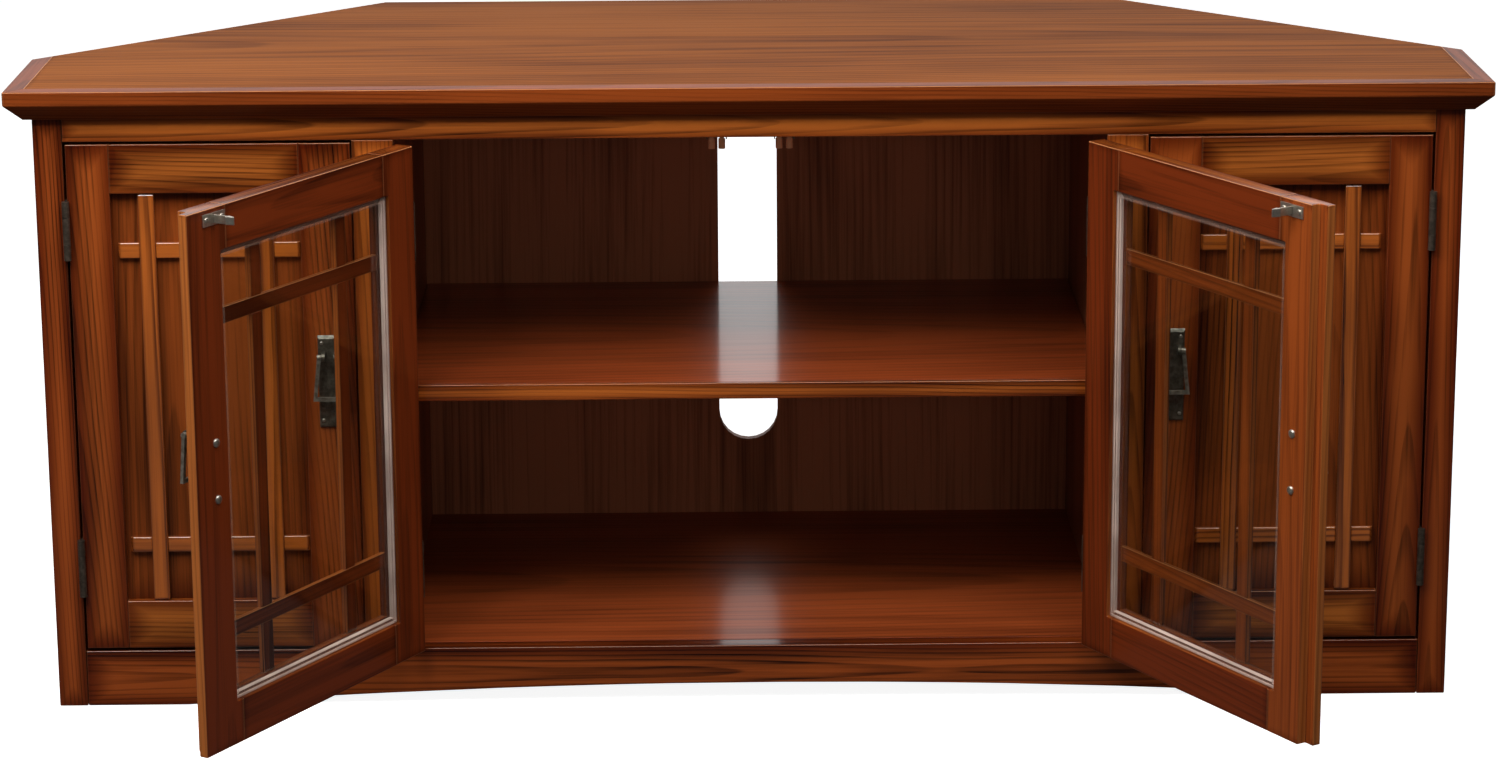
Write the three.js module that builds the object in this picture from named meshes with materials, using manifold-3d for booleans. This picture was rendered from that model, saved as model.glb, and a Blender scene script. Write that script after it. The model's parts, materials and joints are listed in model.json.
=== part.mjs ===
// Corner TV cabinet in stained oak: a five-sided carcass, two lattice doors at the
// sides, two glazed lattice doors over an open centre bay, and a cable slot in the back.
// Millimetres, +Z up, front towards -Y. The glazed doors stand open, as they are shown.
import * as THREE from "three";
import { mergeVertices } from "three/addons/utils/BufferGeometryUtils.js";
import Module from "manifold-3d";

const wasm = await Module();
wasm.setup();

// Overall sizes
const topWidth = 1524;
const cabinetHeight = 668;
const cabinetDepth = 533;
const backWidthShare = 0.5433; // of the top's width
const centreShare = 0.4823; // the centre opening, of the top's width

// Clearances
const seatGap = 0.3; // between pieces that touch
const pinClearance = 0.3; // round a hinge or bail pin
const overrun = 1; // how far a cutting shape passes the face that it cuts
const weldTolerance = 1e-4; // corners closer than this are one corner

// Top board
const topEdgeFace = 14.5;
const topBevelHeight = 17.5;
const topBevelDepth = 17;
const frontOverhang = 25;
const backOverhang = 12;

// Face frame
const postWidth = 30;
const postDepth = 40;
const frameThickness = 20;
const topRailHeight = 25;
const battenDepth = 60;
const battenThickness = 17;
const bottomRailHeight = 61;
const archRise = 19;
const archFoot = 107; // from each end of the rail to the arch
const archSteps = 40;
const mullionWidth = 43;

// Carcass boards
const wallThickness = 12;
const partitionThickness = 18;
const partitionSetback = 5.5; // from the centre opening's edge to the partition's face
const baseThickness = 18;
const backClearance = 30; // the back board ends this far above the floor
const slotWidth = 68;
const slotBottomRise = 89; // above the base board
const slotTopDrop = 45.7; // below the top board's underside
const slotArcSteps = 12;
const shelfThickness = 17.5;
const shelfRise = 5; // of the shelf's top above the middle of the opening
const shelfFront = 56;
const shelfEndGap = 0.6;
const shelfPinRadius = 3;
const shelfPinLength = 10;
const shelfPinInset = 60;
const pinSides = 16;

// Doors
const doorThickness = 20;
const hingeGap = 2.4;
const freeEdgeGap = 1.7;
const doorTopGap = 2.8;
const doorBottomGap = 3;
const hingeStile = 44;
const meetingStile = 53.5;
const doorRail = 52;
const panelRecess = 8.5;
const panelThickness = 6;
const panelTongue = 7;
const lapOverlap = 10;
const lapGap = 1.5;
const lapDepth = 10;
const glassRebate = 8;
const glassThickness = 3;
const glassEdgeGap = 0.5;
const leftOpenAngle = 121;
const rightOpenAngle = 121;

// Lattice
const barWidth = 16.5;
const uprightFaceRecess = 1.5;
const crossbarFaceRecess = 3.5;
const outerUprightShare = 0.626; // spacing of the uprights, of the opening's width
const glassUprightShare = 0.5393;
const crossbarInset = 61.1; // from the opening's end to the crossbar's middle
const outerCrossbarGap = 1.2; // from the meeting stile to the crossbar's end
const outerCrossbarSetback = 5.7; // from the hinge stile to its other end
const barEndBevel = 2.5;

// Butt hinges
const hingeLength = 62;
const hingeInset = 59;
const barrelRadius = 3.8;
const hingePinRadius = 1.6;
const leafThickness = 0.8;
const leafReach = 20;
const leafSideGap = 0.1;
const endKnuckle = 16.5;
const knuckleGap = 0.4;
const barrelSides = 20;

// Drop pulls
const plateWidth = 25;
const plateHeight = 99;
const plateThickness = 3;
const plateBevel = 1.6;
const pullRise = 18.9; // of the plate's centre above the middle of the door
const bailPivotRise = 28; // above the plate's centre
const bailStandOff = 7;
const bailDrop = 47;
const bailTopHalf = 10.6;
const bailBottomHalf = 15.5;
const bailBar = 4.2;
const bailThickness = 3.6;
const bailEyeRadius = 3;
const bailPinRadius = 1.5;
const bailPinSides = 12;
const earWidth = 3.6;
const earHeight = 9;
const earCapRadius = 4.5;
const earSideGap = 0.5;

// Roller catches and strikes
const catchOffset = 35; // from the cabinet's centre line
const rollerRadius = 3.6;
const rollerHeight = 10.5;
const rollerSpacing = 10.6;
const rollerDrop = 11.5; // of the roller's lower end below the case
const rollerSetback = 14; // behind the closed door's back face
const rollerSides = 20;
const carrierWidth = 4.6;
const carrierDepth = 20;
const caseThickness = 1.2;
const caseHalfWidth = 10.7;
const caseDepth = 28;
const caseHeight = 14.4;
const strikePlateWidth = 34;
const strikePlateHeight = 12;
const strikePlateThickness = 1.3;
const strikeNeckWidth = 2.6;
const strikeHeadWidth = 6.2;
const strikeHeight = 8;
const strikeHeadSetback = 3.4; // from the roller's centre to the head's shoulder
const strikeHeadLength = 8;
const strikeTipWidth = 1;

// Places that follow from the sizes above
const backWidth = topWidth * backWidthShare;
const centreOpening = topWidth * centreShare;
const sideReturn = cabinetDepth - (topWidth - backWidth) / 2; // diagonals at 45 degrees
const faceY = frontOverhang;
const frameBack = faceY + frameThickness;
const undersideZ = cabinetHeight - topEdgeFace - topBevelHeight;
const postOuter = topWidth / 2 - frontOverhang;
const postInner = postOuter - postWidth;
const openingTop = undersideZ - topRailHeight;
const openingBottom = bottomRailHeight;
const openingMiddle = (openingBottom + openingTop) / 2;
const shelfTop = openingMiddle + shelfRise;
const mullionInner = centreOpening / 2;
const mullionOuter = mullionInner + mullionWidth;
const doorTop = openingTop - doorTopGap;
const doorBottom = openingBottom + doorBottomGap;
const doorFront = barrelRadius + seatGap; // behind the hinge axis
const hingeAxisY = faceY - doorFront;
const doorBack = doorFront + doorThickness;
const doorEdge = hingeGap / 2; // from the hinge axis to the door's hinge edge
const outerHingeX = postInner - hingeGap / 2;
const glassHingeX = mullionInner - hingeGap / 2;
const outerDoorEnd = outerHingeX - mullionOuter - freeEdgeGap;
const partitionInner = mullionInner + partitionSetback;
const carcassTop = undersideZ - seatGap;
const slotBottom = openingBottom + slotBottomRise;
const slotTop = carcassTop - slotTopDrop;
const caseTop = carcassTop - battenThickness - seatGap;
const caseBottom = caseTop - caseHeight;
const rollerBottom = caseBottom - rollerDrop;
const pullHeight = (doorBottom + doorTop) / 2 + pullRise;
const rollerY = faceY + doorThickness + rollerSetback;

// Materials
const wood = (color, roughness) =>
  new THREE.MeshStandardMaterial({ color, roughness, metalness: 0 });
const metal = (color, roughness) =>
  new THREE.MeshStandardMaterial({ color, roughness, metalness: 0.9 });
const topWood = wood(0x9a5c30, 0.3);
const railWood = wood(0x8a4c1c, 0.35);
const doorWood = wood(0x6a3a18, 0.35);
const insideWood = wood(0x4a2412, 0.4);
const bronze = metal(0x3a2e22, 0.45);
const nickel = metal(0xa8a49c, 0.3);
const rollerPlastic = new THREE.MeshStandardMaterial({
  color: 0xa86c50,
  roughness: 0.5,
});
const clearGlass = new THREE.MeshStandardMaterial({
  color: 0xdfe8e4,
  roughness: 0.05,
  transparent: true,
  opacity: 0.3,
});

// Solids: three.js geometry in, joined or cut, and three.js geometry out
function solidOf(geometry) {
  const bare = geometry.index ? geometry.toNonIndexed() : geometry.clone();
  bare.deleteAttribute("normal");
  bare.deleteAttribute("uv");
  const merged = mergeVertices(bare, weldTolerance);
  return new wasm.Manifold(
    new wasm.Mesh({
      numProp: 3,
      vertProperties: merged.attributes.position.array,
      triVerts: new Uint32Array(merged.index.array),
    }),
  );
}

function geometryOf(solid) {
  const mesh = solid.getMesh();
  const geometry = new THREE.BufferGeometry();
  geometry.setAttribute(
    "position",
    new THREE.BufferAttribute(new Float32Array(mesh.vertProperties), 3),
  );
  geometry.setIndex(new THREE.BufferAttribute(new Uint32Array(mesh.triVerts), 1));
  const faceted = geometry.toNonIndexed();
  faceted.computeVertexNormals();
  return faceted;
}

function join(...geometries) {
  return geometryOf(geometries.map(solidOf).reduce((a, b) => a.add(b)));
}

function cut(body, ...tools) {
  return geometryOf(
    tools.map(solidOf).reduce((a, b) => a.subtract(b), solidOf(body)),
  );
}

// A box between two values on each axis
function box(x, y, z) {
  const size = [x, y, z].map(([low, high]) => high - low);
  const centre = [x, y, z].map(([low, high]) => (low + high) / 2);
  return new THREE.BoxGeometry(...size).translate(...centre);
}

// A flat outline swept straight up from one height to another
function slab(points, [low, high], holes = []) {
  const shape = new THREE.Shape(points.map(([x, y]) => new THREE.Vector2(x, y)));
  shape.holes = holes.map(
    (hole) => new THREE.Path(hole.map(([x, y]) => new THREE.Vector2(x, y))),
  );
  return new THREE.ExtrudeGeometry(shape, {
    depth: high - low,
    bevelEnabled: false,
  }).translate(0, 0, low);
}

// An outline drawn in X and Z, swept from front to back
function upright(points, [front, back]) {
  return slab(points, [-back, -front]).rotateX(Math.PI / 2);
}

// An outline drawn in Y and Z, swept from left to right
function sideways(points, [left, right]) {
  return slab(points, [left, right]).rotateX(Math.PI / 2).rotateZ(Math.PI / 2);
}

function rod(radius, [low, high], sides) {
  return new THREE.CylinderGeometry(radius, radius, high - low, sides)
    .rotateX(Math.PI / 2)
    .translate(0, 0, (low + high) / 2);
}

// The same piece for the other hand: mirrored in X, with its faces turned back out
function mirrored(geometry) {
  const flipped = (geometry.index ? geometry.toNonIndexed() : geometry.clone()).scale(
    -1,
    1,
    1,
  );
  const position = flipped.attributes.position;
  for (let i = 0; i < position.count; i += 3) {
    const [x, y, z] = [position.getX(i), position.getY(i), position.getZ(i)];
    position.setXYZ(
      i,
      position.getX(i + 1),
      position.getY(i + 1),
      position.getZ(i + 1),
    );
    position.setXYZ(i + 1, x, y, z);
  }
  flipped.computeVertexNormals();
  return flipped;
}

function add(parent, name, geometry, material, hand = "left") {
  const mesh = new THREE.Mesh(hand === "right" ? mirrored(geometry) : geometry, material);
  mesh.name = name;
  parent.add(mesh);
  return mesh;
}

function addPair(parent, name, geometry, material) {
  for (const hand of ["left", "right"])
    add(parent, `${name}_${hand}`, geometry, material, hand);
}

const cabinet = new THREE.Group();
cabinet.name = "corner_tv_cabinet";

// Top: a five-cornered board with its front and side edges bevelled below
function topBoard() {
  const half = topWidth / 2;
  const outline = [
    [-half, 0],
    [half, 0],
    [half, sideReturn],
    [backWidth / 2, cabinetDepth],
    [-backWidth / 2, cabinetDepth],
    [-half, sideReturn],
  ];
  const low = undersideZ - overrun;
  const bevelTop = cabinetHeight - topEdgeFace;
  const spread = (topBevelDepth * (topBevelHeight + overrun)) / topBevelHeight;
  const bevel = [
    [-overrun, low],
    [spread, low],
    [0, bevelTop],
    [-overrun, bevelTop],
  ];
  const front = sideways(bevel, [-half - overrun, half + overrun]);
  const side = sideways(bevel, [-overrun, cabinetDepth])
    .rotateZ(-Math.PI / 2)
    .translate(-half, 0, 0);
  return cut(
    slab(outline, [undersideZ, cabinetHeight]),
    front,
    side,
    mirrored(side),
  );
}

// The carcass walls' plan, outside and inside, from the front post round to the back
const wallOuterX = postOuter - seatGap;
const halfTurn = Math.PI / 8; // half the bend where a side wall meets a diagonal wall
const diagonalSum =
  topWidth / 2 + sideReturn - backOverhang * Math.SQRT2; // x + y along the outer diagonal
const backOuterY = cabinetDepth - backOverhang;
const mitreInset = wallThickness * Math.tan(halfTurn);
const wallPlan = {
  sideFront: [wallOuterX, faceY + postDepth + seatGap],
  sideBack: [wallOuterX, diagonalSum - wallOuterX],
  sideBackInner: [
    wallOuterX - wallThickness,
    diagonalSum - wallOuterX - mitreInset,
  ],
  back: [diagonalSum - backOuterY, backOuterY],
  backInner: [
    diagonalSum - backOuterY - mitreInset,
    backOuterY - wallThickness,
  ],
};

// Moves a point of the plan along a wall, so that mitred walls stay a seat gap apart
const slid = ([x, y], dx, dy) => [x + dx, y + dy];
const along = seatGap / 2;
const diagonalStep = along * Math.SQRT1_2;

function sidePanel() {
  const { sideFront, sideBack, sideBackInner } = wallPlan;
  const plan = [
    sideFront,
    slid(sideBack, 0, -along),
    slid(sideBackInner, 0, -along),
    [sideBackInner[0], sideFront[1]],
  ];
  return mirrored(slab(plan, [0, carcassTop]));
}

function diagonalPanel() {
  const { sideBack, sideBackInner, back, backInner } = wallPlan;
  const plan = [
    slid(sideBack, -diagonalStep, diagonalStep),
    slid(back, diagonalStep, -diagonalStep),
    slid(backInner, diagonalStep, -diagonalStep),
    slid(sideBackInner, -diagonalStep, diagonalStep),
  ];
  return mirrored(slab(plan, [0, carcassTop]));
}

// Back board, with the cable slot: straight sides and a round lower end
function backPanel() {
  const { back, backInner } = wallPlan;
  const plan = [
    [-back[0] + along, back[1]],
    [-backInner[0] + along, backInner[1]],
    [backInner[0] - along, backInner[1]],
    [back[0] - along, back[1]],
  ];
  const radius = slotWidth / 2;
  const slot = [
    [radius, slotTop],
    [-radius, slotTop],
  ];
  for (let i = 0; i <= slotArcSteps; i++) {
    const turn = Math.PI + (Math.PI * i) / slotArcSteps;
    slot.push([
      radius * Math.cos(turn),
      slotBottom + radius + radius * Math.sin(turn),
    ]);
  }
  return cut(
    slab(plan, [backClearance, carcassTop]),
    upright(slot, [backInner[1] - overrun, back[1] + overrun]),
  );
}

// Base board: fills the walls' plan behind the bottom rail, notched round the posts
function basePanel() {
  const { sideBackInner, backInner } = wallPlan;
  const front = frameBack + seatGap;
  const right = [
    [postInner - seatGap, front],
    [postInner - seatGap, faceY + postDepth + seatGap],
    [sideBackInner[0] - seatGap, faceY + postDepth + seatGap],
    [sideBackInner[0] - seatGap, sideBackInner[1] - along],
    [backInner[0] - along, backInner[1] - seatGap],
  ];
  const left = right.map(([x, y]) => [-x, y]).reverse();
  return slab([...right, ...left], [openingBottom - baseThickness, openingBottom]);
}

// Partition between the centre bay and a side compartment, with its two shelf pins
function partition() {
  const x = [-partitionInner - partitionThickness, -partitionInner];
  const y = [frameBack + seatGap, wallPlan.backInner[1] - seatGap];
  const board = box(x, y, [
    openingBottom + seatGap,
    carcassTop - battenThickness - seatGap,
  ]);
  const rear = box(
    x,
    [frameBack + battenDepth + seatGap, y[1]],
    [carcassTop - battenThickness - overrun, carcassTop],
  );
  const pins = [shelfFront + shelfPinInset, y[1] - shelfPinInset].map((pinY) =>
    rod(shelfPinRadius, [-overrun, shelfPinLength], pinSides)
      .rotateY(Math.PI / 2)
      .translate(
        -partitionInner,
        pinY,
        shelfTop - shelfThickness - seatGap - shelfPinRadius,
      ),
  );
  return join(board, rear, ...pins);
}

function centreShelf() {
  const half = partitionInner - shelfEndGap;
  return box(
    [-half, half],
    [shelfFront, wallPlan.backInner[1] - seatGap],
    [shelfTop - shelfThickness, shelfTop],
  );
}

// Top rail with the batten behind it that the top board and the catches are screwed to
function topRail() {
  const half = postInner - seatGap;
  const rail = box([-half, half], [faceY, frameBack], [openingTop, carcassTop]);
  const batten = box(
    [-half, half],
    [frameBack - overrun, frameBack + battenDepth],
    [carcassTop - battenThickness, carcassTop],
  );
  return join(rail, batten);
}

// Bottom rail: its ends reach the floor and its lower edge rises in a shallow arch
function bottomRail() {
  const half = postInner - seatGap;
  const outline = [
    [half, 0],
    [half, openingBottom],
    [-half, openingBottom],
    [-half, 0],
  ];
  for (let i = 0; i <= archSteps; i++) {
    const share = (2 * i) / archSteps - 1;
    outline.push([share * (half - archFoot), archRise * (1 - share * share)]);
  }
  return upright(outline, [faceY, frameBack]);
}

addPair(
  cabinet,
  "corner_post",
  box([-postOuter, -postInner], [faceY, faceY + postDepth], [0, carcassTop]),
  railWood,
);
add(cabinet, "top_board", topBoard(), topWood);
add(cabinet, "top_rail", topRail(), railWood);
add(cabinet, "bottom_rail", bottomRail(), railWood);
addPair(
  cabinet,
  "mullion",
  box(
    [-mullionOuter, -mullionInner],
    [faceY, frameBack],
    [openingBottom + seatGap, openingTop - seatGap],
  ),
  railWood,
);
addPair(cabinet, "side_panel", sidePanel(), railWood);
addPair(cabinet, "diagonal_panel", diagonalPanel(), insideWood);
add(cabinet, "back_panel", backPanel(), insideWood);
add(cabinet, "base_panel", basePanel(), insideWood);
addPair(cabinet, "partition", partition(), insideWood);
add(cabinet, "centre_shelf", centreShelf(), insideWood);

// Doors are drawn for the left hand, closed, from their hinge axis: X along the door,
// Y from the axis to the back, Z from the floor.
const railBottom = [doorBottom, doorBottom + doorRail];
const railTop = [doorTop - doorRail, doorTop];
const openingZ = [railBottom[1], railTop[0]];
const outerOpening = [doorEdge + hingeStile, outerDoorEnd - meetingStile];
const glassDoorEnd = glassHingeX + lapOverlap / 2;
const glassOpening = [
  doorEdge + hingeStile + glassRebate,
  glassHingeX - meetingStile,
];
const panelFront = doorFront + panelRecess;

function grown([low, high], by) {
  return [low - by, high + by];
}

function outerDoorFrame() {
  const groove = seatGap + panelTongue;
  return cut(
    box([doorEdge, outerDoorEnd], [doorFront, doorBack], [doorBottom, doorTop]),
    box(outerOpening, [0, doorBack + overrun], openingZ),
    box(
      grown(outerOpening, groove),
      [panelFront - seatGap, panelFront + panelThickness + seatGap],
      grown(openingZ, groove),
    ),
  );
}

function outerDoorPanel() {
  return box(
    grown(outerOpening, panelTongue),
    [panelFront, panelFront + panelThickness],
    grown(openingZ, panelTongue),
  );
}

// Two uprights from rail to rail, halved over two crossbars with bevelled ends
function lattice(opening, uprightShare, crossbar) {
  const spacing = uprightShare * (opening[1] - opening[0]);
  const back = panelFront - seatGap;
  const centre = (opening[0] + opening[1]) / 2;
  const half = barWidth / 2;
  const bars = [-spacing / 2, spacing / 2].map((offset) =>
    box(
      [centre + offset - half, centre + offset + half],
      [doorFront + uprightFaceRecess, back],
      grown(openingZ, -seatGap),
    ),
  );
  const face = doorFront + crossbarFaceRecess;
  const plan = [
    [crossbar[0], back],
    [crossbar[0], face + barEndBevel],
    [crossbar[0] + barEndBevel, face],
    [crossbar[1] - barEndBevel, face],
    [crossbar[1], face + barEndBevel],
    [crossbar[1], back],
  ];
  for (const middle of grown(openingZ, -crossbarInset))
    bars.push(slab(plan, [middle - half, middle + half]));
  return join(...bars);
}

// A glazed door's frame. The lap at its free edge is on the back of one door and on the
// front of the other, so that the closed doors overlap.
function glassDoorFrame(lapIsInFront) {
  const meeting = glassHingeX - lapOverlap / 2 - lapGap;
  const lapY = doorFront + lapDepth;
  const side = seatGap / 2;
  const tongue = lapIsInFront
    ? [doorFront, lapY - side]
    : [lapY + side, doorBack];
  return cut(
    join(
      box([doorEdge, meeting], [doorFront, doorBack], [doorBottom, doorTop]),
      box([meeting - overrun, glassDoorEnd], tongue, [doorBottom, doorTop]),
    ),
    box(glassOpening, [0, doorBack], openingZ),
    box(
      grown(glassOpening, glassRebate),
      [panelFront, doorBack + overrun],
      grown(openingZ, glassRebate),
    ),
  );
}

function doorGlass() {
  const edge = glassRebate - glassEdgeGap;
  return box(
    grown(glassOpening, edge),
    [panelFront + seatGap, panelFront + seatGap + glassThickness],
    grown(openingZ, edge),
  );
}

// Hinge leaves, drawn on the hinge axis with the hinge's middle at height zero
function knuckleRanges() {
  const half = hingeLength / 2;
  return {
    ends: [
      [-half, -half + endKnuckle],
      [half - endKnuckle, half],
    ],
    middle: [-half + endKnuckle + knuckleGap, half - endKnuckle - knuckleGap],
  };
}

function frameLeaf() {
  const { ends } = knuckleRanges();
  const half = hingeLength / 2;
  const x = [-leafSideGap - leafThickness, -leafSideGap];
  const clear = barrelRadius + knuckleGap;
  return join(
    ...ends.map((z) => rod(barrelRadius, z, barrelSides)),
    rod(hingePinRadius, [-half, half], pinSides),
    ...ends.map((z) => box(x, [0, clear + overrun], z)),
    box(x, [clear, doorFront + leafReach], [-half, half]),
  );
}

function doorLeaf() {
  const { middle } = knuckleRanges();
  const half = hingeLength / 2;
  const x = [leafSideGap, leafSideGap + leafThickness];
  const clear = barrelRadius + knuckleGap;
  return cut(
    join(
      rod(barrelRadius, middle, barrelSides),
      box(x, [0, clear + overrun], middle),
      box(x, [clear, doorFront + leafReach], [-half, half]),
    ),
    rod(hingePinRadius + pinClearance, grown(middle, overrun), pinSides),
  );
}

// Drop pull: a bevelled plate with two bored ears, and a splayed bail between them.
// Drawn on the plate's centre, with the door's face at Y zero and the pull in front.
const earOuter = bailTopHalf - bailBar / 2 - earSideGap;
const bailPivotY = -plateThickness - bailStandOff;

function pullPlate() {
  const halfWidth = plateWidth / 2;
  const halfHeight = plateHeight / 2;
  const corners = (inset) => [
    [-halfWidth + inset, -halfHeight + inset],
    [halfWidth - inset, -halfHeight + inset],
    [halfWidth - inset, halfHeight - inset],
    [-halfWidth + inset, halfHeight - inset],
  ];
  const shape = new THREE.Shape(
    corners(plateBevel).map(([x, z]) => new THREE.Vector2(x, z)),
  );
  const plate = new THREE.ExtrudeGeometry(shape, {
    depth: plateThickness - plateBevel,
    bevelEnabled: true,
    bevelThickness: plateBevel,
    bevelSize: plateBevel,
    bevelSegments: 1,
  }).rotateX(Math.PI / 2);
  const flush = cut(
    plate,
    box(
      grown([-halfWidth, halfWidth], overrun),
      [-seatGap, plateThickness],
      grown([-halfHeight, halfHeight], overrun),
    ),
  );
  const ears = [-earOuter, earOuter - earWidth].map((x) =>
    join(
      box(
        [x, x + earWidth],
        [bailPivotY, -plateThickness / 2],
        [bailPivotRise - earHeight / 2, bailPivotRise + earHeight / 2],
      ),
      rod(earCapRadius, [x, x + earWidth], pinSides)
        .rotateY(Math.PI / 2)
        .translate(0, bailPivotY, bailPivotRise),
    ),
  );
  const bore = rod(bailPinRadius + pinClearance, [-halfWidth, halfWidth], bailPinSides)
    .rotateY(Math.PI / 2)
    .translate(0, bailPivotY, bailPivotRise);
  return cut(join(flush, ...ears), bore);
}

// The bail, drawn on its own pivot line
function bail() {
  const bar = bailBar / 2;
  const foot = -bailDrop;
  const outline = [
    [bailTopHalf + bar, 0],
    [bailBottomHalf + bar, foot],
    [-bailBottomHalf - bar, foot],
    [-bailTopHalf - bar, 0],
    [-bailTopHalf + bar, 0],
    [-bailBottomHalf + bar, foot + bailBar],
    [bailBottomHalf - bar, foot + bailBar],
    [bailTopHalf - bar, 0],
  ];
  const body = upright(outline, [-bailThickness / 2, bailThickness / 2]);
  const ends = [-1, 1].flatMap((hand) => {
    const eye = [hand * (bailTopHalf - bar), hand * (bailTopHalf + bar)];
    const pin = [hand * (earOuter - earWidth), hand * bailTopHalf];
    return [
      rod(bailEyeRadius, eye.sort((a, b) => a - b), pinSides).rotateY(Math.PI / 2),
      rod(bailPinRadius, pin.sort((a, b) => a - b), bailPinSides).rotateY(Math.PI / 2),
    ];
  });
  return join(body, ...ends);
}

// Strike: a screwed plate with a spear that snaps between the catch's rollers.
// Drawn on the door's back face, at the middle of the plate.
function strike() {
  const half = strikePlateWidth / 2;
  const shoulder = rollerSetback + strikeHeadSetback;
  const spear = [
    [-strikeNeckWidth / 2, seatGap],
    [strikeNeckWidth / 2, seatGap],
    [strikeNeckWidth / 2, shoulder],
    [strikeHeadWidth / 2, shoulder],
    [strikeTipWidth / 2, shoulder + strikeHeadLength],
    [-strikeTipWidth / 2, shoulder + strikeHeadLength],
    [-strikeHeadWidth / 2, shoulder],
    [-strikeNeckWidth / 2, shoulder],
  ];
  return join(
    box(
      [-half, half],
      [seatGap, seatGap + strikePlateThickness],
      [-strikePlateHeight / 2, strikePlateHeight / 2],
    ),
    slab(spear, [-strikeHeight / 2, strikeHeight / 2]),
  );
}

// One door on its hinge axis, with its hinges, pull and bail. The frame's leaves stay
// on the carcass and do not turn with the door.
function hangDoor({ name, hand, axisX, openAngle, pieces, pullX, strikeX }) {
  const sign = hand === "left" ? 1 : -1;
  const fixed = new THREE.Group();
  fixed.position.set(-sign * axisX, hingeAxisY, 0);
  cabinet.add(fixed);
  const door = new THREE.Group();
  door.position.copy(fixed.position);
  door.rotation.z = -sign * THREE.MathUtils.degToRad(openAngle);
  cabinet.add(door);
  for (const [piece, geometry, material] of pieces)
    add(door, `${name}_${piece}`, geometry, material, hand);
  const heights = {
    upper: doorTop - hingeInset - hingeLength / 2,
    lower: doorBottom + hingeInset + hingeLength / 2,
  };
  for (const [place, z] of Object.entries(heights)) {
    const hinge = `${name}_${place}_hinge`;
    add(fixed, `${hinge}_frame_leaf`, frameLeaf(), bronze, hand).position.z = z;
    add(door, `${hinge}_door_leaf`, doorLeaf(), bronze, hand).position.z = z;
  }
  const plate = add(door, `${name}_pull_plate`, pullPlate(), bronze, hand);
  plate.position.set(sign * pullX, doorFront, pullHeight);
  const swing = add(door, `${name}_pull_bail`, bail(), bronze, hand);
  swing.position.set(
    sign * pullX,
    doorFront + bailPivotY,
    pullHeight + bailPivotRise,
  );
  if (strikeX) {
    const spear = add(door, `${name}_strike`, strike(), nickel, hand);
    spear.position.set(sign * strikeX, doorBack, rollerBottom + rollerHeight / 2);
  }
}

const outerCrossbar = [
  outerOpening[0] + outerCrossbarSetback,
  outerOpening[1] - outerCrossbarGap,
];
const outerPieces = [
  ["frame", outerDoorFrame(), doorWood],
  ["panel", outerDoorPanel(), doorWood],
  ["lattice", lattice(outerOpening, outerUprightShare, outerCrossbar), doorWood],
];
const glassPieces = (lapIsInFront) => [
  ["frame", glassDoorFrame(lapIsInFront), doorWood],
  ["glass", doorGlass(), clearGlass],
  [
    "lattice",
    lattice(glassOpening, glassUprightShare, grown(glassOpening, -seatGap)),
    doorWood,
  ],
];
const outerPullX = outerDoorEnd - meetingStile / 2;
const glassPullX = glassHingeX - meetingStile / 2;

for (const hand of ["left", "right"]) {
  const isLeft = hand === "left";
  hangDoor({
    name: `${hand}_outer_door`,
    hand,
    axisX: outerHingeX,
    openAngle: 0,
    pieces: outerPieces,
    pullX: outerPullX,
  });
  hangDoor({
    name: `${hand}_glass_door`,
    hand,
    axisX: glassHingeX,
    openAngle: isLeft ? leftOpenAngle : rightOpenAngle,
    pieces: glassPieces(!isLeft),
    pullX: glassPullX,
    strikeX: glassHingeX - catchOffset,
  });
}

// Double roller catch: a case open in front and below, and two sprung roller carriers
function catchCase() {
  const y = [rollerY - carrierDepth / 2, rollerY - carrierDepth / 2 + caseDepth];
  const wall = [caseHalfWidth - caseThickness, caseHalfWidth];
  return join(
    box([-caseHalfWidth, caseHalfWidth], y, [caseTop - caseThickness, caseTop]),
    box(wall, y, [caseBottom, caseTop]),
    box([-wall[1], -wall[0]], y, [caseBottom, caseTop]),
    box(
      [-caseHalfWidth, caseHalfWidth],
      [y[1] - caseThickness, y[1]],
      [caseBottom, caseTop],
    ),
  );
}

function catchRoller() {
  const top = caseTop - caseThickness - seatGap;
  return join(
    rod(rollerRadius, [rollerBottom, rollerBottom + rollerHeight], rollerSides),
    box(
      [-carrierWidth / 2, carrierWidth / 2],
      [-carrierDepth / 2, carrierDepth / 2],
      [rollerBottom + rollerHeight - overrun, top],
    ),
  );
}

for (const [hand, sign] of [
  ["left", -1],
  ["right", 1],
]) {
  add(cabinet, `${hand}_catch_case`, catchCase(), bronze).position.x =
    sign * catchOffset;
  for (const [side, step] of [
    ["outer", sign],
    ["inner", -sign],
  ]) {
    const roller = add(cabinet, `${hand}_catch_${side}_roller`, catchRoller(), rollerPlastic);
    roller.position.set(
      sign * catchOffset + (step * rollerSpacing) / 2,
      rollerY,
      0,
    );
  }
}

// The origin is the middle of the whole outline, on the floor
cabinet.updateMatrixWorld(true);
const outlineBox = new THREE.Box3().setFromObject(cabinet, true);
cabinet.position.y = -(outlineBox.min.y + outlineBox.max.y) / 2;
cabinet.updateMatrixWorld(true);

export default cabinet;
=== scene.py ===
import json
import math
import random

import bmesh
import bpy
from mathutils import Matrix, Vector


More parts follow.
